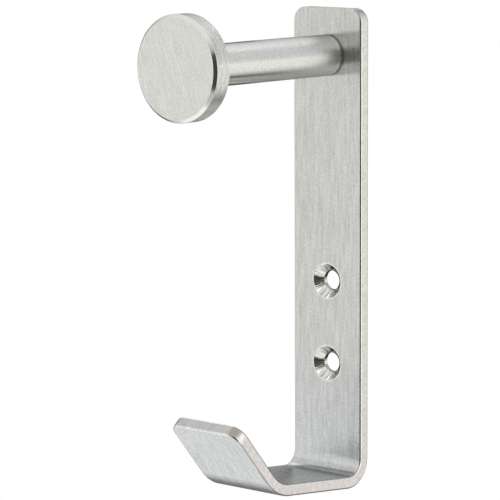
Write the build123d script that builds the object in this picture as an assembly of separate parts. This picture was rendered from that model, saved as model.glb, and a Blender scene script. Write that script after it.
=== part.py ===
from build123d import *

import math
import os

# Double coat hook: a flat steel bar bent up into a lower hook, with a round-headed peg above it.
# Millimetres. X runs across the bar, the front faces -Y and +Z is up. The origin is on the wall
# face (Y = 0), halfway between the two wall-screw holes.

# The flat bar that carries everything
BAR_WIDTH = 25.0
BAR_THICKNESS = 3.5
BAR_TOP = 90.5
BAR_BOTTOM = -46.5
TOP_CORNER_RADIUS = 4.0
TIP_CORNER_RADIUS = 4.0
BAR_EDGE_RADIUS = 0.6

# The lower hook: round the heel bend, out from the wall, round the toe bend and up to the tip.
# The radii are on the inside of the bends, and the slopes are above the horizontal.
HEEL_BEND_RADIUS = 4.5
RUN_SLOPE = 5.5
RUN_LENGTH = 26.0
TOE_BEND_RADIUS = 10.5
TIP_SLOPE = 49.5
TIP_LENGTH = 21.0

# Wall-screw holes, countersunk from the front
WALL_HOLE_SPACING = 24.0
WALL_HOLE_DIAMETER = 5.6
WALL_SINK_DIAMETER = 10.0
SINK_ANGLE = 90.0
SINK_RIM_RADIUS = 0.35

# The peg: a turned post and its flat round head
PEG_HEIGHT = 77.0
POST_DIAMETER = 11.8
POST_LENGTH = 57.5
POST_FOOT_CHAMFER = 0.35
HEAD_DIAMETER = 29.4
HEAD_THICKNESS = 6.0
HEAD_FRONT_CHAMFER = 0.85
HEAD_EDGE_BREAK = 0.15
HEAD_BACK_CHAMFER = 0.4

# The spigot on the post that the head is pressed onto
SPIGOT_DIAMETER = 8.0
SPIGOT_LENGTH = 3.5
SPIGOT_CHAMFER = 0.4
SPIGOT_BORE_DEPTH = 4.0

# The countersunk screw that holds the post from the wall side
SCREW_DIAMETER = 5.0
SCREW_LENGTH = 16.0
SCREW_POINT_CHAMFER = 0.6
SCREW_HEAD_DIAMETER = 10.0
SCREW_HEAD_LAND = 0.3
SCREW_HEAD_BELOW_FACE = 0.1
SCREW_HOLE_DIAMETER = 5.4
HEX_ACROSS_FLATS = 3.0
HEX_DEPTH = 1.9
HEX_MOUTH_CHAMFER = 0.2
TAPPED_HOLE_DIAMETER = 5.1
TAPPED_HOLE_DEPTH = 17.0
DRILL_POINT_ANGLE = 118.0

FRONT_FACE = -BAR_THICKNESS
HEAD_SEAT = FRONT_FACE - POST_LENGTH
HEAD_FACE = HEAD_SEAT - HEAD_THICKNESS
SCREW_TOP = -SCREW_HEAD_BELOW_FACE
WALL_HOLE_HEIGHTS = (WALL_HOLE_SPACING / 2, -WALL_HOLE_SPACING / 2)


def cone_height(wide_diameter, narrow_diameter, full_angle):
    """Height of a cone that narrows from one diameter to the other."""
    return (wide_diameter - narrow_diameter) / 2 / math.tan(math.radians(full_angle / 2))


def turned(outline_points, axis_height):
    """Solid turned about a line along Y; each outline point is (distance from that line, Y)."""
    outline = make_face(Polyline(*outline_points, close=True))
    return Pos(0, 0, axis_height) * revolve(outline, Axis.Y)


def outward(slope):
    """Unit vector of the side view that leads away from the wall, rising at that slope."""
    return Vector(-math.cos(math.radians(slope)), math.sin(math.radians(slope)))


def inward(slope):
    """Unit vector of the side view square to outward, towards the inside of the hook."""
    return Vector(math.sin(math.radians(slope)), math.cos(math.radians(slope)))


def bar_side_view():
    """Side view of the bent bar: the middle line of its thickness, drawn as wide as the bar is thick."""
    middle = BAR_THICKNESS / 2
    heel_radius = HEEL_BEND_RADIUS + middle
    toe_radius = TOE_BEND_RADIUS + middle

    heel_centre = Vector(-middle - heel_radius, BAR_BOTTOM + middle + heel_radius)
    heel_start = heel_centre + Vector(heel_radius, 0)
    heel_end = heel_centre - inward(RUN_SLOPE) * heel_radius
    toe_start = heel_end + outward(RUN_SLOPE) * RUN_LENGTH
    toe_centre = toe_start + inward(RUN_SLOPE) * toe_radius
    toe_end = toe_centre - inward(TIP_SLOPE) * toe_radius

    middle_line = [
        Line((-middle, BAR_TOP), heel_start),
        TangentArc(heel_start, heel_end, tangent=(0, -1)),
        Line(heel_end, toe_start),
        TangentArc(toe_start, toe_end, tangent=outward(RUN_SLOPE)),
        Line(toe_end, toe_end + outward(TIP_SLOPE) * TIP_LENGTH),
    ]
    return Plane.YZ * trace(middle_line, line_width=BAR_THICKNESS)


def thickness_edges(bar):
    """The straight edges that cross the bar's thickness at its corners, from the lowest to the highest."""
    straight = bar.edges().filter_by(GeomType.LINE)
    short = straight.filter_by(lambda edge: math.isclose(edge.length, BAR_THICKNESS, rel_tol=0.001))
    return short.sort_by(Axis.Z)


def rim_edges(bar):
    """The edges round the front and wall faces, without the lines where the bends begin and end."""
    rims = bar.edges().filter_by(Axis.X, reverse=True) - thickness_edges(bar)
    top_end = bar.faces().sort_by(Axis.Z)[-1]
    tip_end = bar.faces().filter_by(GeomType.PLANE).sort_by(Axis.Y)[0]
    return rims + top_end.edges().filter_by(Axis.X) + tip_end.edges().filter_by(Axis.X)


def countersunk_hole(face_y, into, sink_diameter, hole_diameter, height):
    """Cutter for a hole through the bar; into is +1 or -1, the way along Y that the drill goes."""
    sink_bottom = face_y + into * cone_height(sink_diameter, hole_diameter, SINK_ANGLE)
    above = face_y - into * BAR_THICKNESS
    beyond = face_y + into * 2 * BAR_THICKNESS
    outline = [
        (0, above),
        (sink_diameter / 2, above),
        (sink_diameter / 2, face_y),
        (hole_diameter / 2, sink_bottom),
        (hole_diameter / 2, beyond),
        (0, beyond),
    ]
    return turned(outline, height)


def make_hook_plate():
    """The bent bar with its rounded corners and edges, two wall-screw holes and the peg's screw hole."""
    bar = extrude(bar_side_view(), BAR_WIDTH / 2, both=True)
    bar = fillet(thickness_edges(bar)[2:], TOP_CORNER_RADIUS)
    bar = fillet(thickness_edges(bar)[:2], TIP_CORNER_RADIUS)
    bar = fillet(rim_edges(bar), BAR_EDGE_RADIUS)

    for height in WALL_HOLE_HEIGHTS:
        bar -= countersunk_hole(FRONT_FACE, 1, WALL_SINK_DIAMETER, WALL_HOLE_DIAMETER, height)
    front_edges = bar.edges().filter_by_position(Axis.Y, FRONT_FACE, FRONT_FACE)
    bar = fillet(front_edges.filter_by(lambda edge: edge.is_closed), SINK_RIM_RADIUS)

    sink_diameter = SCREW_HEAD_DIAMETER + 2 * (SCREW_HEAD_BELOW_FACE + SCREW_HEAD_LAND)
    bar -= countersunk_hole(0, -1, sink_diameter, SCREW_HOLE_DIAMETER, PEG_HEIGHT)
    return bar


def make_peg_post():
    """The turned post, tapped from its foot, with the spigot for the head at its other end."""
    radius = POST_DIAMETER / 2
    bore_radius = TAPPED_HOLE_DIAMETER / 2
    bore_end = FRONT_FACE - TAPPED_HOLE_DEPTH
    bore_point = bore_end - cone_height(TAPPED_HOLE_DIAMETER, 0, DRILL_POINT_ANGLE)
    spigot_radius = SPIGOT_DIAMETER / 2
    spigot_end = HEAD_SEAT - SPIGOT_LENGTH
    outline = [
        (bore_radius, FRONT_FACE),
        (radius - POST_FOOT_CHAMFER, FRONT_FACE),
        (radius, FRONT_FACE - POST_FOOT_CHAMFER),
        (radius, HEAD_SEAT),
        (spigot_radius, HEAD_SEAT),
        (spigot_radius, spigot_end + SPIGOT_CHAMFER),
        (spigot_radius - SPIGOT_CHAMFER, spigot_end),
        (0, spigot_end),
        (0, bore_point),
        (bore_radius, bore_end),
    ]
    return turned(outline, PEG_HEIGHT)


def make_peg_head():
    """The round head: a wide chamfer round its face, a narrow one behind, and the spigot's bore."""
    radius = HEAD_DIAMETER / 2
    bore_radius = SPIGOT_DIAMETER / 2
    bore_end = HEAD_SEAT - SPIGOT_BORE_DEPTH
    chamfer_start = HEAD_FACE + HEAD_FRONT_CHAMFER
    outline = [
        (bore_radius, HEAD_SEAT),
        (radius - HEAD_BACK_CHAMFER, HEAD_SEAT),
        (radius, HEAD_SEAT - HEAD_BACK_CHAMFER),
        (radius, chamfer_start),
        (radius - HEAD_FRONT_CHAMFER, HEAD_FACE),
        (0, HEAD_FACE),
        (0, bore_end),
        (bore_radius, bore_end),
    ]
    head = turned(outline, PEG_HEIGHT)
    chamfer_edges = head.edges().filter_by_position(Axis.Y, HEAD_FACE, chamfer_start)
    return fillet(chamfer_edges.filter_by(GeomType.CIRCLE), HEAD_EDGE_BREAK)


def make_peg_screw():
    """The countersunk screw with its hexagon socket; its thread is drawn as a plain cylinder."""
    head_radius = SCREW_HEAD_DIAMETER / 2
    shank_radius = SCREW_DIAMETER / 2
    land_end = SCREW_TOP - SCREW_HEAD_LAND
    cone_end = land_end - cone_height(SCREW_HEAD_DIAMETER, SCREW_DIAMETER, SINK_ANGLE)
    point = SCREW_TOP - SCREW_LENGTH
    outline = [
        (0, SCREW_TOP),
        (head_radius, SCREW_TOP),
        (head_radius, land_end),
        (shank_radius, cone_end),
        (shank_radius, point + SCREW_POINT_CHAMFER),
        (shank_radius - SCREW_POINT_CHAMFER, point),
        (0, point),
    ]
    screw = turned(outline, PEG_HEIGHT)

    socket_plane = Plane(origin=(0, SCREW_TOP, PEG_HEIGHT), x_dir=(1, 0, 0), z_dir=(0, -1, 0))
    hexagon = RegularPolygon(HEX_ACROSS_FLATS / 2, side_count=6, major_radius=False)
    socket = extrude(socket_plane * hexagon, HEX_DEPTH)
    mouth_radius = HEX_ACROSS_FLATS / math.sqrt(3) + HEX_MOUTH_CHAMFER
    mouth = [(0, SCREW_TOP), (mouth_radius, SCREW_TOP), (0, SCREW_TOP - mouth_radius)]
    return screw - socket - turned(mouth, PEG_HEIGHT)


SUB_PARTS = {
    "hook_plate": make_hook_plate,
    "peg_post": make_peg_post,
    "peg_head": make_peg_head,
    "peg_screw": make_peg_screw,
}

os.makedirs("parts", exist_ok=True)
for name, make in SUB_PARTS.items():
    export_step(make(), f"parts/{name}.step")
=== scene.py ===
"""A double coat hook in brushed stainless steel, seen a little from above and from its right.

Metres, in the frame of the part: X runs across the bar, the front faces -Y, +Z is up, and the wall
face is Y = 0. Names that end in _MM are millimetres.
"""
import math

import bpy
import numpy as np
from mathutils import Matrix, Vector


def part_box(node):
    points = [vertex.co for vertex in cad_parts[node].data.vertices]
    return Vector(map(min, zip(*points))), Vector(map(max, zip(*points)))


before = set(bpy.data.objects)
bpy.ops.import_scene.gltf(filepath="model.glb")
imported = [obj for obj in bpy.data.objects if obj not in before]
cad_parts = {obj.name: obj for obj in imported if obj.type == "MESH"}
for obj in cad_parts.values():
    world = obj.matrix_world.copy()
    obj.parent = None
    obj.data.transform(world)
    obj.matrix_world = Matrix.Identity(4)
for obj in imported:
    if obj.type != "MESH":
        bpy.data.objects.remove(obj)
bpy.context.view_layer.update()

# Places on the hook that the finishes follow, in millimetres
MM_PER_M = 1000.0
HEAD_LOW, HEAD_HIGH = (np.array(corner) * MM_PER_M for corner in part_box("peg_head"))
PEG_HEIGHT_MM = (HEAD_LOW[2] + HEAD_HIGH[2]) / 2
POST_FOOT_MM = -3.5
WALL_HOLE_HEIGHTS_MM = (12.0, -12.0)
WALL_SINK_RADIUS_MM = 5.0
WALL_HOLE_RADIUS_MM = 2.8
HEEL_LINE_MM = -7.0
TIP_END_NORMAL = (0.0, -0.649, 0.760)
TIP_BROWN_MM = (11.0, -22.3)

# Soft limits in millimetres: a mask is 0 at the first number of a pair and 1 at the second
FRONT_SIDE = (-0.1, -0.4)
SINK_EDGE = (WALL_SINK_RADIUS_MM + 0.02, WALL_SINK_RADIUS_MM - 0.02)
BORE_EDGE = (WALL_HOLE_RADIUS_MM + 0.10, WALL_HOLE_RADIUS_MM + 0.02)
LIP_INSIDE = (5.0, 5.08)
LIP_OUTSIDE = (5.42, 5.32)
UPPER_BORE_SHADE_ABOVE = (0.1, 0.8)
BORE_BROWN_BELOW = (-0.9, -1.6)
HEEL_LINE_HALF_WIDTH = (1.5, 0.6)
LOWER_HOOK = (0.0, -30.0)
TIP_HIGHLIGHT_LIMITS = (-45.0, -47.0)
TIP_BROWN_REACH = (2.2, 0.4)
TIP_BROWN_FRONT = (-50.0, -53.0)
JOINT_SHADE_LIMITS = (POST_FOOT_MM - 1.0, POST_FOOT_MM - 0.6)
JOINT_GLINT_MM = POST_FOOT_MM - 1.5
JOINT_GLINT_HALF_WIDTH = (0.5, 0.2)

# How far the grain changes the tone of its steel
BAR_LINES_TONE = 0.44
BAR_FLECKS_TONE = 0.46
SIDE_FLECKS_TONE = 0.75
SIDE_LINES_TONE = 0.45
SINK_STREAKS_TONE = 2.6
POST_RINGS_TONE = 0.22
POST_FLECKS_TONE = 0.50
HEAD_LINES_TONE = 0.45
HEAD_FLECKS_TONE = 0.55
RIM_GRAIN_EXTRA = 0.6
SCREW_MARKS_TONE = 0.12

# How deep the grooves of the grain are, in millimetres
BAR_LINES_DEPTH = 0.018
BAR_FLECKS_DEPTH = 0.008
SINK_STREAKS_DEPTH = 0.14
POST_RINGS_DEPTH = 0.012
POST_FLECKS_DEPTH = 0.008
HEAD_LINES_DEPTH = 0.014
HEAD_FLECKS_DEPTH = 0.010
SCREW_MARKS_DEPTH = 0.006

# How far each mark changes the tone of its steel: above 0 brighter, below 0 darker; apart from the
# clouds, these marks are painted highlights and painted shade
CLOUD_TONE = 0.05
HEEL_CREASE_SHADE_TONE = -0.32
SINK_LIP_HIGHLIGHT_TONE = 0.25
UPPER_BORE_SHADE_TONE = -0.93
BACK_EDGE_REFLECTION_TONE = -0.50
DARK_REFLECTION_LINE_TONE = -0.45
HIGHLIGHT_LINE_TONE = 0.22
TIP_END_SHADE_TONE = -0.15
TIP_HIGHLIGHT_TONE = 0.25
UP_FACING_LIGHT_TONE = 0.85
JOINT_HIGHLIGHT_TONE = 0.18
JOINT_SHADE_TONE = -0.40
CHAMFER_SHADE_TONE = -0.34
CHAMFER_CORNER_HIGHLIGHT_TONE = 0.35

# Colours of the steel, as linear reflectances; the bar and the hook, faces and sides, are copies of one
# steel whose differences are painted light
BAR_STEEL = (0.560, 0.566, 0.535)
BAR_SIDE_STEEL = (0.618, 0.612, 0.588)
HOOK_STEEL = (0.567, 0.571, 0.570)
HOOK_SIDE_STEEL = (0.612, 0.586, 0.590)
BORE_BROWN = (0.42, 0.36, 0.28)
TIP_BROWN = (0.40, 0.31, 0.23)
TIP_BROWN_STRENGTH = 0.6
SINK_STEEL = (0.68, 0.68, 0.66)
POST_STEEL = (0.66, 0.665, 0.645)
RIM_STEEL = (0.625, 0.632, 0.605)
HEAD_STEEL = (0.667, 0.672, 0.628)
SCREW_STEEL = (0.50, 0.50, 0.49)
EDGE_ON_STEEL = (0.42, 0.44, 0.43)

# Gloss: how rough each finish is, how far the fine scratches change that, and how far its highlights
# are drawn out across the grain
BAR_ROUGHNESS = 0.27
BAR_SCRATCHES_ROUGHNESS = 0.16
POST_ROUGHNESS = 0.25
POST_SCRATCHES_ROUGHNESS = 0.14
HEAD_ROUGHNESS = 0.34
HEAD_SCRATCHES_ROUGHNESS = 0.12
SCREW_ROUGHNESS = 0.28
SCREW_MARKS_ROUGHNESS = 0.12
EDGE_ROUGHNESS = 0.12
SINK_ROUGHNESS = 0.11
CHAMFER_ROUGHNESS = 0.15
BRUSHED_ANISOTROPY = 0.88
HEAD_ANISOTROPY = 0.85
SCREW_ANISOTROPY = 0.3

# The way that the straight grain of the head leans from upright
HEAD_GRAIN_TILT = math.radians(20.0)

# The camera, as the photograph was taken
CAMERA_AZIMUTH = 41.444
CAMERA_ELEVATION = 8.242
CAMERA_ROLL = -0.245
CAMERA_DISTANCE_MM = 793.95
FOCAL_PIXELS = 2833.8
PICTURE_PIXELS = 500
SENSOR_MM = 36.0
AIM_DEPTH_MM = -30.0
AIM_RIGHT_MM = -4.58
AIM_HEIGHT_MM = 23.96
CLIP_START = 0.1
CLIP_END = 20.0

# The floor, well below the hook
FLOOR_HEIGHT = -0.35
FLOOR_RADIUS = 1.1
FLOOR_STEPS = 96
FLOOR_COLOUR = (0.86, 0.855, 0.84)
FLOOR_ROUGHNESS = 0.8

# What the steel mirrors from behind the hook, which starts at this soft limit of a direction's y: the
# light by the angle round the peg's axis in degrees, 0 at the hook's right, 90 above and -90 below
BEHIND_STARTS = (0.05, 0.35)
BEHIND_THE_HOOK = (
    (-180, (0.95, 0.96, 0.97)),
    (-120, (1.14, 1.13, 1.05)),
    (-80, (1.14, 1.13, 1.03)),
    (-73, (0.06, 0.06, 0.06)),
    (-66, (0.06, 0.06, 0.06)),
    (-56, (0.78, 0.78, 0.75)),
    (-38, (1.20, 1.19, 1.12)),
    (3, (1.20, 1.19, 1.12)),
    (15, (0.86, 0.88, 0.90)),
    (68, (0.88, 0.89, 0.90)),
    (80, (1.25, 1.25, 1.25)),
    (140, (1.25, 1.25, 1.25)),
    (155, (0.95, 0.96, 0.97)),
    (180, (0.95, 0.96, 0.97)),
)

# What it mirrors from in front, and the bright floor that the tip mirrors, which lies between soft
# limits of a direction's z, x and y
FRONT_LIGHT = (1.085, 1.085, 1.09)
FLOOR_LIGHT = (1.58, 1.57, 1.60)
FLOOR_BELOW = (-0.35, -0.55)
FLOOR_LEFT_OF = (0.30, 0.12)
FLOOR_FRONT_END = (-0.75, -0.50)

# Round patches that the steel mirrors: the azimuth and elevation of the middle, the cosines of the
# angles from it where the patch starts and where it is full, and its light
MIRRORED_PATCHES = (
    # The bright wall at the hook's right
    (92.0, 0.0, 0.80, 0.97, (1.45, 1.44, 1.40)),
    # The dim room straight behind the hook, which shows in the top of the hook's run
    (CAMERA_AZIMUTH + 180.0, -CAMERA_ELEVATION, 0.85, 0.92, (0.16, 0.17, 0.17)),
    # The shade low behind the hook, which shows in the outside of the toe bend
    (-128.0, -33.0, 0.92, 0.98, (0.34, 0.34, 0.34)),
    # The dark round the place that the photograph was taken from
    (CAMERA_AZIMUTH, -5.0, 0.82, 0.91, (0.090, 0.084, 0.068)),
)

# What everything else gets from the world
SOFT_LIGHT = (0.9, 0.9, 0.9)
WHITE = (1.0, 1.0, 1.0)

# Where the Mix node has its first colour or number, and its result, for each type of data
MIX_SOCKETS = {"FLOAT": (2, 0), "VECTOR": (4, 1), "RGBA": (6, 2)}


def direction(azimuth, elevation):
    """Unit vector from the hook towards a place in the room; azimuth 0 is in front, 90 at its right."""
    a, e = math.radians(azimuth), math.radians(elevation)
    return Vector((math.sin(a) * math.cos(e), -math.cos(a) * math.cos(e), math.sin(e)))


class Nodes:
    """Short calls for the nodes of one material or world."""

    def __init__(self, tree):
        self.tree = tree
        self.tree.nodes.clear()

    def new(self, kind, **settings):
        """Adds a node and sets its properties."""
        node = self.tree.nodes.new(kind)
        for name, value in settings.items():
            setattr(node, name, value)
        return node

    def link(self, source, socket):
        """Joins an output to a socket, or sets the socket to a plain value."""
        if isinstance(source, bpy.types.NodeSocket):
            self.tree.links.new(source, socket)
        elif socket.type == "RGBA" and len(source) == 3:
            socket.default_value = (*source, 1.0)
        else:
            socket.default_value = source

    def split(self, vector):
        """The three coordinates of a vector."""
        node = self.new("ShaderNodeSeparateXYZ")
        self.link(vector, node.inputs[0])
        return node.outputs[0], node.outputs[1], node.outputs[2]

    def join(self, x, y, z):
        """The vector with these three coordinates."""
        node = self.new("ShaderNodeCombineXYZ")
        for value, socket in zip((x, y, z), node.inputs):
            self.link(value, socket)
        return node.outputs[0]

    def math(self, operation, *values):
        """One step of arithmetic, under Blender's name for it."""
        node = self.new("ShaderNodeMath", operation=operation)
        for value, socket in zip(values, node.inputs):
            self.link(value, socket)
        return node.outputs[0]

    def add(self, a, b):
        return self.math("ADD", a, b)

    def sub(self, a, b):
        return self.math("SUBTRACT", a, b)

    def mul(self, a, b):
        return self.math("MULTIPLY", a, b)

    def radius(self, x, y):
        """Length of the flat vector (x, y)."""
        return self.math("SQRT", self.add(self.mul(x, x), self.mul(y, y)))

    def facing(self, vector, toward):
        """Cosine of the angle between two unit vectors."""
        node = self.new("ShaderNodeVectorMath", operation="DOT_PRODUCT")
        self.link(vector, node.inputs[0])
        self.link(tuple(toward), node.inputs[1])
        return node.outputs["Value"]

    def span(self, value, low, high, to_low=0.0, to_high=1.0):
        """Value carried smoothly from low..high to to_low..to_high, and held outside that."""
        node = self.new("ShaderNodeMapRange", interpolation_type="SMOOTHSTEP")
        for number, socket in zip((value, low, high, to_low, to_high), node.inputs):
            self.link(number, socket)
        return node.outputs[0]

    def band(self, value, first, second):
        """1 where the value is inside both of two soft limits."""
        return self.mul(self.span(value, *first), self.span(value, *second))

    def noise(self, place, rates, detail=2.0, roughness=0.5):
        """Noise about 0, with so many grains to a millimetre along each of the three coordinates."""
        node = self.new("ShaderNodeTexNoise")
        node.inputs["Scale"].default_value = 1.0
        node.inputs["Detail"].default_value = detail
        node.inputs["Roughness"].default_value = roughness
        stretched = [self.mul(value, rate) for value, rate in zip(place, rates)]
        self.link(self.join(*stretched), node.inputs["Vector"])
        return self.sub(node.outputs[0], 0.5)

    def total(self, *parts):
        """Sum of values, each times its share; a part is a pair of a value and a share."""
        terms = [self.mul(value, share) for value, share in parts]
        result = terms[0]
        for term in terms[1:]:
            result = self.add(result, term)
        return result

    def marked(self, tone, mask, amount):
        """Tone changed by so much of itself where the mask is 1."""
        return self.mul(tone, self.add(1.0, self.mul(mask, amount)))

    def mix(self, kind, share, a, b):
        """a where share is 0 and b where it is 1, for one of the types of data in MIX_SOCKETS."""
        first, result = MIX_SOCKETS[kind]
        node = self.new("ShaderNodeMix", data_type=kind)
        for value, index in zip((share, a, b), (0, first, first + 1)):
            self.link(value, node.inputs[index])
        return node.outputs[result]

    def blend(self, share, a, b):
        """Number a where share is 0 and b where it is 1."""
        return self.mix("FLOAT", share, a, b)

    def blend_vector(self, share, a, b):
        """Direction a where share is 0 and b where it is 1."""
        return self.mix("VECTOR", share, a, b)

    def blend_colour(self, share, a, b):
        """Colour a where share is 0 and b where it is 1."""
        return self.mix("RGBA", share, a, b)

    def shade(self, colour, amount):
        """Colour times a number."""
        node = self.new("ShaderNodeVectorMath", operation="SCALE")
        self.link(colour, node.inputs[0])
        self.link(amount, node.inputs["Scale"])
        return node.outputs[0]


class Finish(Nodes):
    """A steel finish under construction; x, y and z are millimetres on the piece."""

    def __init__(self, name):
        self.material = bpy.data.materials.new(name)
        self.material.use_nodes = True
        super().__init__(self.material.node_tree)
        to_mm = self.new("ShaderNodeVectorMath", operation="SCALE")
        to_mm.inputs["Scale"].default_value = MM_PER_M
        self.link(self.new("ShaderNodeTexCoord").outputs["Object"], to_mm.inputs[0])
        self.x, self.y, self.z = self.split(to_mm.outputs[0])
        self.normal = self.new("ShaderNodeNewGeometry").outputs["Normal"]

    def steel(self, colour, roughness, grooves, across, anisotropy):
        """Ends the material: metal with grooves of so many millimetres, its gloss spread across them."""
        metal = self.new("ShaderNodeBsdfPrincipled")
        metal.inputs["Metallic"].default_value = 1.0
        metal.inputs["Anisotropic"].default_value = anisotropy
        metal.inputs["Specular Tint"].default_value = (*EDGE_ON_STEEL, 1.0)
        self.link(colour, metal.inputs["Base Color"])
        self.link(roughness, metal.inputs["Roughness"])
        self.link(across, metal.inputs["Tangent"])
        bump = self.new("ShaderNodeBump")
        bump.inputs["Strength"].default_value = 1.0
        bump.inputs["Distance"].default_value = 1.0 / MM_PER_M
        self.link(grooves, bump.inputs["Height"])
        self.link(bump.outputs[0], metal.inputs["Normal"])
        output = self.new("ShaderNodeOutputMaterial")
        self.link(metal.outputs[0], output.inputs["Surface"])
        return self.material


def sink_marks(f):
    """Masks of the two wall holes: sinks, a painted highlight on their lips, painted shade on the upper
    wall of each bore, brown on its lower wall, and the streaks that the cutter left.
    """
    front_side = f.span(f.y, *FRONT_SIDE)
    sink = lip_highlight = upper_bore_shade = bore_brown = chatter = 0.0
    for height in WALL_HOLE_HEIGHTS_MM:
        up = f.sub(f.z, height)
        from_axis = f.radius(f.x, up)
        inside = f.mul(front_side, f.span(from_axis, *SINK_EDGE))
        in_bore = f.span(from_axis, *BORE_EDGE)

        # The streaks run from the axis outwards: noise over the direction from it
        around = (f.math("DIVIDE", f.x, from_axis), f.math("DIVIDE", up, from_axis), from_axis)
        streaks = f.noise(around, (6.5, 6.5, 0.3))

        sink = f.add(sink, inside)
        # A painted highlight on the lip round each sink
        lip_highlight = f.add(lip_highlight, f.mul(front_side, f.band(from_axis, LIP_INSIDE, LIP_OUTSIDE)))
        # Painted shade on the upper wall of each bore, and brown on its lower wall
        upper_bore_shade = f.add(upper_bore_shade, f.mul(in_bore, f.span(up, *UPPER_BORE_SHADE_ABOVE)))
        bore_brown = f.add(bore_brown, f.mul(in_bore, f.span(up, *BORE_BROWN_BELOW)))
        chatter = f.add(chatter, f.mul(streaks, inside))
    return sink, lip_highlight, upper_bore_shade, bore_brown, chatter


def painted_edge_tone(f, tone, nx, ny, nz):
    """Tone with painted lines along the rounded right edges: a painted dark reflection next to the front
    and where they face back or down, and a painted highlight next to the side.
    """
    faces_back = f.span(ny, 0.03, 0.20)
    faces_down = f.mul(f.span(nz, -0.05, -0.25), f.span(ny, -0.6, -0.3))
    back_edge_reflection = f.mul(f.span(nx, 0.1, 0.4), f.math("MAXIMUM", faces_back, faces_down))
    dark_reflection_line = f.mul(f.band(nx, (0.18, 0.34), (0.84, 0.70)), f.sub(1.0, back_edge_reflection))
    highlight_line = f.mul(f.band(nx, (0.84, 0.90), (0.999, 0.98)), f.span(ny, 0.1, 0.0))
    dark = f.total((back_edge_reflection, BACK_EDGE_REFLECTION_TONE), (dark_reflection_line, DARK_REFLECTION_LINE_TONE))
    return f.marked(f.marked(tone, dark, 1.0), highlight_line, HIGHLIGHT_LINE_TONE)


def brushed_bar():
    """Bar stock brushed along its length, round both bends; sinks bright from the countersink."""
    f = Finish("brushed_bar")
    nx, ny, nz = f.split(f.normal)
    sideways = f.math("ABSOLUTE", nx)
    side = f.span(sideways, 0.90, 0.98)
    edge = f.sub(f.span(sideways, 0.05, 0.35), side)
    sink, lip_highlight, upper_bore_shade, bore_brown, chatter = sink_marks(f)

    # Grain: noise packed tightly across the bar and drawn out along it, broken up by short flecks
    place = (f.x, f.y, f.z)
    long_lines = f.noise(place, (1.6, 0.16, 0.16), detail=1.0)
    flecks = f.noise(place, (2.2, 1.4, 1.4), detail=1.0)
    scratches = f.noise(place, (9.0, 0.35, 0.35), detail=3.0, roughness=0.6)
    clouds = f.noise(place, (0.07, 0.05, 0.05), detail=1.0)
    face_grain = f.total((long_lines, BAR_LINES_TONE), (flecks, BAR_FLECKS_TONE))

    # On the narrow sides the grain runs aslant
    rising = f.add(f.y, f.z)
    falling = f.sub(f.y, f.z)
    side_flecks = f.noise((f.x, rising, falling), (1.0, 1.8, 0.9), detail=3.0, roughness=0.65)
    side_lines = f.noise((f.x, falling, rising), (1.0, 2.2, 0.3), detail=1.0)
    side_grain = f.total((side_flecks, SIDE_FLECKS_TONE), (side_lines, SIDE_LINES_TONE))
    tone = f.add(1.0, f.total((f.blend(side, face_grain, side_grain), 1.0), (clouds, CLOUD_TONE)))

    # A dark line of painted shade across the inside of the heel bend, a painted highlight on the lips of
    # the sinks, and painted lines along the edges
    from_line = f.math("ABSOLUTE", f.sub(f.y, HEEL_LINE_MM))
    heel_crease_shade = f.mul(f.span(from_line, *HEEL_LINE_HALF_WIDTH), f.span(nz, 0.80, 0.90))
    tone = f.marked(tone, heel_crease_shade, HEEL_CREASE_SHADE_TONE)
    tone = f.marked(tone, lip_highlight, SINK_LIP_HIGHLIGHT_TONE)
    tone = painted_edge_tone(f, tone, nx, ny, nz)

    # Painted shade on the tip's end, a painted highlight line below it, and painted light on what faces
    # up
    tip_end_shade = f.span(f.facing(f.normal, TIP_END_NORMAL), 0.95, 0.98)
    faces_front = f.span(f.facing(f.normal, (0.0, -1.0, 0.0)), 0.92, 0.98)
    tone = f.marked(tone, tip_end_shade, TIP_END_SHADE_TONE)
    tone = f.marked(tone, f.mul(faces_front, f.span(f.y, *TIP_HIGHLIGHT_LIMITS)), TIP_HIGHLIGHT_TONE)
    tone = f.marked(tone, f.span(nz, 0.85, 0.95), UP_FACING_LIGHT_TONE)

    # The steel of the bar above and of the hook below, copies of one steel whose differences are painted
    # light, then the sinks with painted shade on the upper wall of each bore
    bar = f.blend_colour(side, BAR_STEEL, BAR_SIDE_STEEL)
    hook = f.blend_colour(side, HOOK_STEEL, HOOK_SIDE_STEEL)
    colour = f.shade(f.blend_colour(f.span(f.z, *LOWER_HOOK), bar, hook), tone)
    cone = f.shade(SINK_STEEL, f.marked(1.0, chatter, SINK_STREAKS_TONE))
    cone = f.blend_colour(bore_brown, f.shade(cone, f.marked(1.0, upper_bore_shade, UPPER_BORE_SHADE_TONE)), BORE_BROWN)
    colour = f.blend_colour(sink, colour, cone)

    # A warm brown patch at the tip's right corner
    from_corner = f.radius(f.sub(f.x, TIP_BROWN_MM[0]), f.sub(f.z, TIP_BROWN_MM[1]))
    ragged = f.add(from_corner, f.mul(flecks, 2.0))
    warm = f.mul(f.span(ragged, *TIP_BROWN_REACH), f.span(f.y, *TIP_BROWN_FRONT))
    colour = f.blend_colour(f.mul(warm, TIP_BROWN_STRENGTH), colour, TIP_BROWN)

    roughness = f.add(BAR_ROUGHNESS, f.mul(scratches, BAR_SCRATCHES_ROUGHNESS))
    roughness = f.blend(edge, roughness, EDGE_ROUGHNESS)
    roughness = f.blend(sink, roughness, SINK_ROUGHNESS)
    grooves = f.total((long_lines, BAR_LINES_DEPTH), (f.add(flecks, scratches), BAR_FLECKS_DEPTH))
    grooves = f.add(f.mul(grooves, f.sub(1.0, sink)), f.mul(chatter, SINK_STREAKS_DEPTH))
    across = f.blend_vector(side, (1.0, 0.0, 0.0), (0.0, 1.0, 0.0))
    return f.steel(colour, roughness, grooves, across, BRUSHED_ANISOTROPY)


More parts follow.
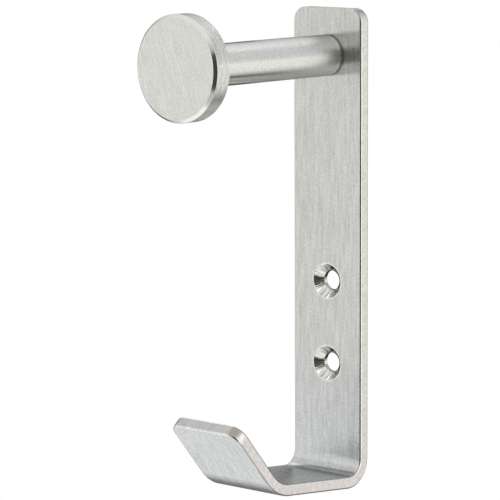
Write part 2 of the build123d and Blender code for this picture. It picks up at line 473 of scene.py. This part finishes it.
def turned_post():
    """Round bar with fine marks left round it by the lathe and the abrasive."""
    f = Finish("turned_post")
    place = (f.x, f.y, f.sub(f.z, PEG_HEIGHT_MM))
    rings = f.noise(place, (0.35, 1.7, 0.35), detail=3.0, roughness=0.6)
    flecks = f.noise(place, (2.2, 3.0, 2.2), detail=1.0)
    scratches = f.noise(place, (0.5, 9.0, 0.5), detail=3.0, roughness=0.6)
    tone = f.add(1.0, f.total((rings, POST_RINGS_TONE), (flecks, POST_FLECKS_TONE)))

    # Painted shade in the gap where the post stands on the bar, with a painted highlight beside it
    joint_shade = f.span(f.y, *JOINT_SHADE_LIMITS)
    from_glint = f.math("ABSOLUTE", f.sub(f.y, JOINT_GLINT_MM))
    joint_highlight = f.span(from_glint, *JOINT_GLINT_HALF_WIDTH)
    foot_light_and_shade = f.total((joint_highlight, JOINT_HIGHLIGHT_TONE), (joint_shade, JOINT_SHADE_TONE))
    tone = f.marked(tone, foot_light_and_shade, 1.0)
    roughness = f.add(POST_ROUGHNESS, f.mul(scratches, POST_SCRATCHES_ROUGHNESS))
    grooves = f.total((rings, POST_RINGS_DEPTH), (f.add(flecks, scratches), POST_FLECKS_DEPTH))
    return f.steel(f.shade(POST_STEEL, tone), roughness, grooves, (0.0, 1.0, 0.0), BRUSHED_ANISOTROPY)


def brushed_head():
    """Disc with a straight grain over its faces, a grain round its rim and a smoother chamfer with
    painted light and shade.
    """
    f = Finish("brushed_head")
    nx, ny, nz = f.split(f.normal)
    along_axis = f.math("ABSOLUTE", ny)
    rim = f.span(along_axis, 0.40, 0.15)
    chamfer = f.sub(f.span(along_axis, 0.98, 0.88), rim)
    lean_x = math.cos(HEAD_GRAIN_TILT)
    lean_z = math.sin(HEAD_GRAIN_TILT)

    height = f.sub(f.z, PEG_HEIGHT_MM)
    across_grain = f.total((f.x, lean_x), (height, lean_z))
    along_grain = f.total((height, lean_x), (f.x, -lean_z))
    on_face = (across_grain, along_grain, f.y)
    on_rim = (f.x, f.y, height)
    face_lines = f.noise(on_face, (2.1, 0.22, 0.2), detail=3.0, roughness=0.6)
    face_flecks = f.noise(on_face, (3.0, 1.3, 1.0), detail=2.0, roughness=0.6)
    face_scratches = f.noise(on_face, (9.0, 0.4, 1.0), detail=3.0, roughness=0.6)
    rim_lines = f.noise(on_rim, (0.35, 1.7, 0.35), detail=3.0, roughness=0.6)
    rim_flecks = f.noise(on_rim, (1.9, 2.6, 1.9), detail=1.0)
    lines = f.blend(rim, face_lines, rim_lines)
    flecks = f.blend(rim, face_flecks, rim_flecks)

    # The chamfer has no grain, and the rim has more of it than the faces
    grain = f.total((lines, HEAD_LINES_TONE), (flecks, HEAD_FLECKS_TONE))
    grain = f.mul(grain, f.sub(1.0, chamfer))
    tone = f.add(1.0, f.marked(grain, rim, RIM_GRAIN_EXTRA))

    # Painted light on the chamfer: bright above and at its lower right, painted shade between, and
    # painted highlights at its corners
    lit_above = f.span(nz, 0.28, 0.46)
    lit_below = f.mul(f.span(nz, -0.36, -0.50), f.span(nx, 0.0, 0.2, 0.0, 0.6))
    lit = f.math("MAXIMUM", lit_above, lit_below)
    tone = f.marked(tone, f.mul(chamfer, f.sub(1.0, lit)), CHAMFER_SHADE_TONE)
    chamfer_corner_highlights = f.mul(f.mul(chamfer, f.sub(1.0, chamfer)), 4.0)
    tone = f.marked(tone, chamfer_corner_highlights, CHAMFER_CORNER_HIGHLIGHT_TONE)
    colour = f.shade(f.blend_colour(rim, HEAD_STEEL, RIM_STEEL), tone)

    roughness = f.add(HEAD_ROUGHNESS, f.mul(face_scratches, HEAD_SCRATCHES_ROUGHNESS))
    roughness = f.blend(chamfer, roughness, CHAMFER_ROUGHNESS)
    grooves = f.total((lines, HEAD_LINES_DEPTH), (f.add(flecks, face_scratches), HEAD_FLECKS_DEPTH))
    grooves = f.mul(grooves, f.sub(1.0, chamfer))
    across = f.blend_vector(f.add(rim, chamfer), (lean_x, 0.0, lean_z), (0.0, 1.0, 0.0))
    return f.steel(colour, roughness, grooves, across, HEAD_ANISOTROPY)


def plain_screw():
    """Plain stainless screw, smooth from the die, with faint turning marks."""
    f = Finish("plain_screw")
    from_axis = f.radius(f.x, f.sub(f.z, PEG_HEIGHT_MM))
    marks = f.noise((from_axis, f.y, 0.0), (9.0, 9.0, 1.0))
    colour = f.shade(SCREW_STEEL, f.marked(1.0, marks, SCREW_MARKS_TONE))
    roughness = f.add(SCREW_ROUGHNESS, f.mul(marks, SCREW_MARKS_ROUGHNESS))
    grooves = f.mul(marks, SCREW_MARKS_DEPTH)
    return f.steel(colour, roughness, grooves, (0.0, 1.0, 0.0), SCREW_ANISOTROPY)


def dress(node, material):
    """Gives a CAD node its finish."""
    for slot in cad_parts[node].material_slots:
        slot.material = material


def make_floor():
    """A plain pale round floor; its edge is a circle of straight steps."""
    turns = np.linspace(0.0, 2 * math.pi, FLOOR_STEPS, endpoint=False)
    points = np.stack([np.cos(turns), np.sin(turns), np.zeros_like(turns)], axis=1) * FLOOR_RADIUS
    points[:, 2] = FLOOR_HEIGHT
    mesh = bpy.data.meshes.new("floor")
    mesh.from_pydata(points.tolist(), [], [tuple(range(len(points)))])
    floor = bpy.data.objects.new("floor", mesh)
    bpy.context.scene.collection.objects.link(floor)
    material = bpy.data.materials.new("pale_floor")
    material.use_nodes = True
    surface = material.node_tree.nodes["Principled BSDF"]
    surface.inputs["Base Color"].default_value = (*FLOOR_COLOUR, 1.0)
    surface.inputs["Roughness"].default_value = FLOOR_ROUGHNESS
    mesh.materials.append(material)
    floor.visible_glossy = False


def make_world():
    """White for the camera, a plain soft light on everything, and a pale room that only steel mirrors."""
    world = bpy.data.worlds.new("studio")
    bpy.context.scene.world = world
    world.use_nodes = True
    w = Nodes(world.node_tree)
    toward = w.new("ShaderNodeTexCoord").outputs["Generated"]
    x, y, z = w.split(toward)

    # Behind the hook the light follows the angle round the peg's axis
    turn = w.math("DIVIDE", w.math("ARCTAN2", z, x), 2 * math.pi)
    ramp = w.new("ShaderNodeValToRGB")
    stops = ramp.color_ramp.elements
    while len(stops) < len(BEHIND_THE_HOOK):
        stops.new(1.0)
    for stop, (degrees, colour) in zip(stops, BEHIND_THE_HOOK):
        stop.position = degrees / 360 + 0.5
        stop.color = (*colour, 1.0)
    w.link(w.add(turn, 0.5), ramp.inputs[0])

    # In front it is plain, apart from the bright floor
    on_floor = w.mul(w.span(z, *FLOOR_BELOW), w.span(x, *FLOOR_LEFT_OF))
    on_floor = w.mul(on_floor, w.span(y, *FLOOR_FRONT_END))
    front = w.blend_colour(on_floor, FRONT_LIGHT, FLOOR_LIGHT)
    mirrored = w.blend_colour(w.span(y, *BEHIND_STARTS), front, ramp.outputs[0])
    for azimuth, elevation, start, full, light in MIRRORED_PATCHES:
        nearness = w.facing(toward, direction(azimuth, elevation))
        mirrored = w.blend_colour(w.span(nearness, start, full), mirrored, light)

    # The camera sees white, the steel mirrors the room, and diffuse surfaces get the soft light
    rays = w.new("ShaderNodeLightPath").outputs
    seen = w.math("MAXIMUM", rays["Is Camera Ray"], rays["Is Transmission Ray"])
    colour = w.blend_colour(rays["Is Glossy Ray"], SOFT_LIGHT, mirrored)
    colour = w.blend_colour(seen, colour, WHITE)
    background = w.new("ShaderNodeBackground")
    w.link(colour, background.inputs["Color"])
    output = w.new("ShaderNodeOutputWorld")
    w.link(background.outputs[0], output.inputs["Surface"])


def make_camera():
    """The camera of the photograph: level but for a slight roll, with a long lens."""
    back = direction(CAMERA_AZIMUTH, CAMERA_ELEVATION)
    azimuth = math.radians(CAMERA_AZIMUTH)
    level = Vector((math.cos(azimuth), math.sin(azimuth), 0.0))
    up = back.cross(level)
    roll = math.radians(CAMERA_ROLL)
    right = level * math.cos(roll) + up * math.sin(roll)
    top = up * math.cos(roll) - level * math.sin(roll)
    aim = Vector((0.0, AIM_DEPTH_MM, AIM_HEIGHT_MM)) + level * AIM_RIGHT_MM
    place = (aim + back * CAMERA_DISTANCE_MM) / MM_PER_M

    lens = bpy.data.cameras.new("camera")
    lens.sensor_width = SENSOR_MM
    lens.lens = FOCAL_PIXELS / PICTURE_PIXELS * SENSOR_MM
    lens.clip_start = CLIP_START
    lens.clip_end = CLIP_END
    camera = bpy.data.objects.new("camera", lens)
    turn = Matrix((right, top, back)).transposed().to_4x4()
    camera.matrix_world = Matrix.Translation(place) @ turn
    bpy.context.scene.collection.objects.link(camera)
    bpy.context.scene.camera = camera


dress("hook_plate", brushed_bar())
dress("peg_post", turned_post())
dress("peg_head", brushed_head())
dress("peg_screw", plain_screw())

make_floor()
make_world()
make_camera()
bpy.context.scene.view_settings.view_transform = "Standard"
